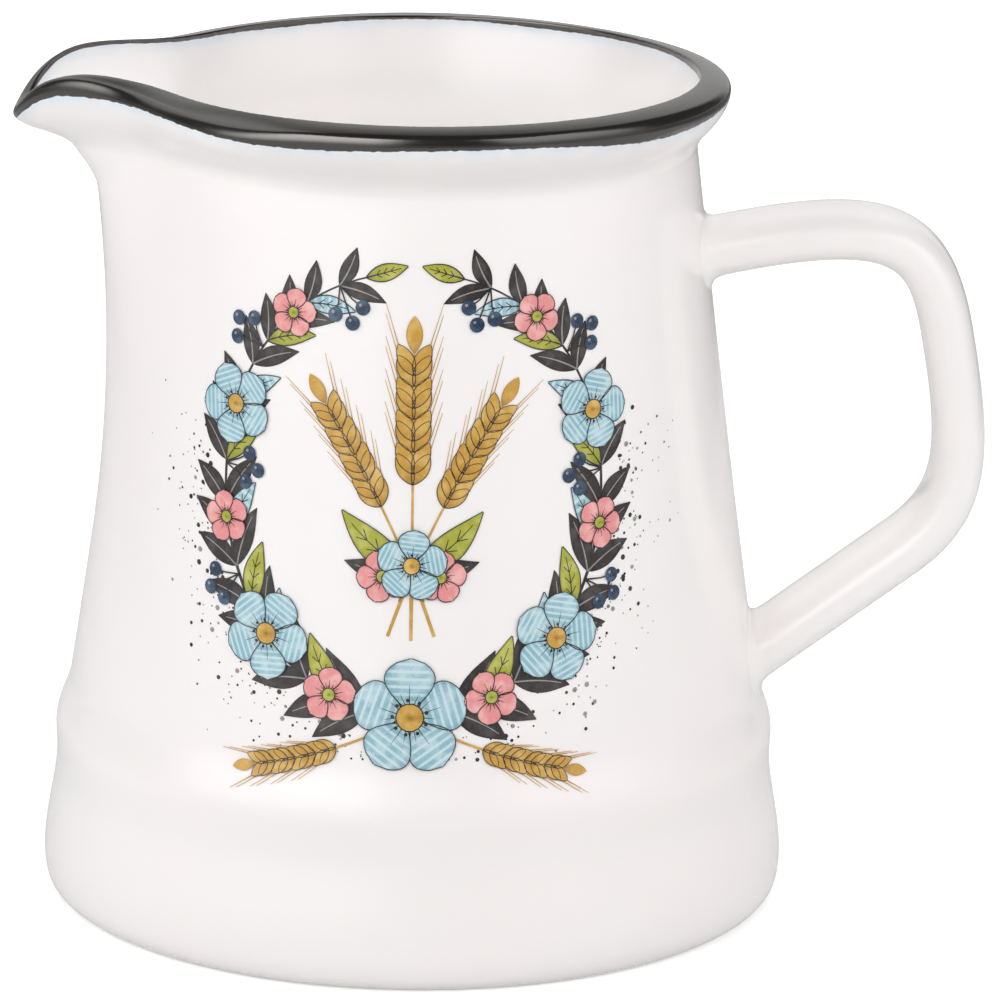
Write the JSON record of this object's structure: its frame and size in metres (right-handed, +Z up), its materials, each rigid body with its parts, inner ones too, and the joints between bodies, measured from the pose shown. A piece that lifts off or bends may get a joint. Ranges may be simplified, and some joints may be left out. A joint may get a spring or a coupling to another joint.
{
  "type": "milk jug",
  "caption": "Glazed ceramic milk jug with a tapered body on a stepped base, a flared lip drawn into a pouring spout, a dark rim band and a flat strap handle.",
  "frame": {"origin": "on the jug's axis, on the surface that it stands on", "axes": "+Z up along the jug's axis, +X from the axis towards the handle with the spout at -X, +Y away from the printed side that the picture shows"},
  "size_m": [0.1259, 0.0966, 0.1093],
  "materials": {
    "white_glaze": "glossy white glaze on earthenware",
    "black_glaze": "glossy brushed black glaze"
  },
  "bodies": {
    "root": {"jug_body": "white_glaze", "rim_band": "black_glaze", "handle": "white_glaze", "upper_slip_joint": "white_glaze", "lower_slip_joint": "white_glaze"}
  },
  "joints": []
}
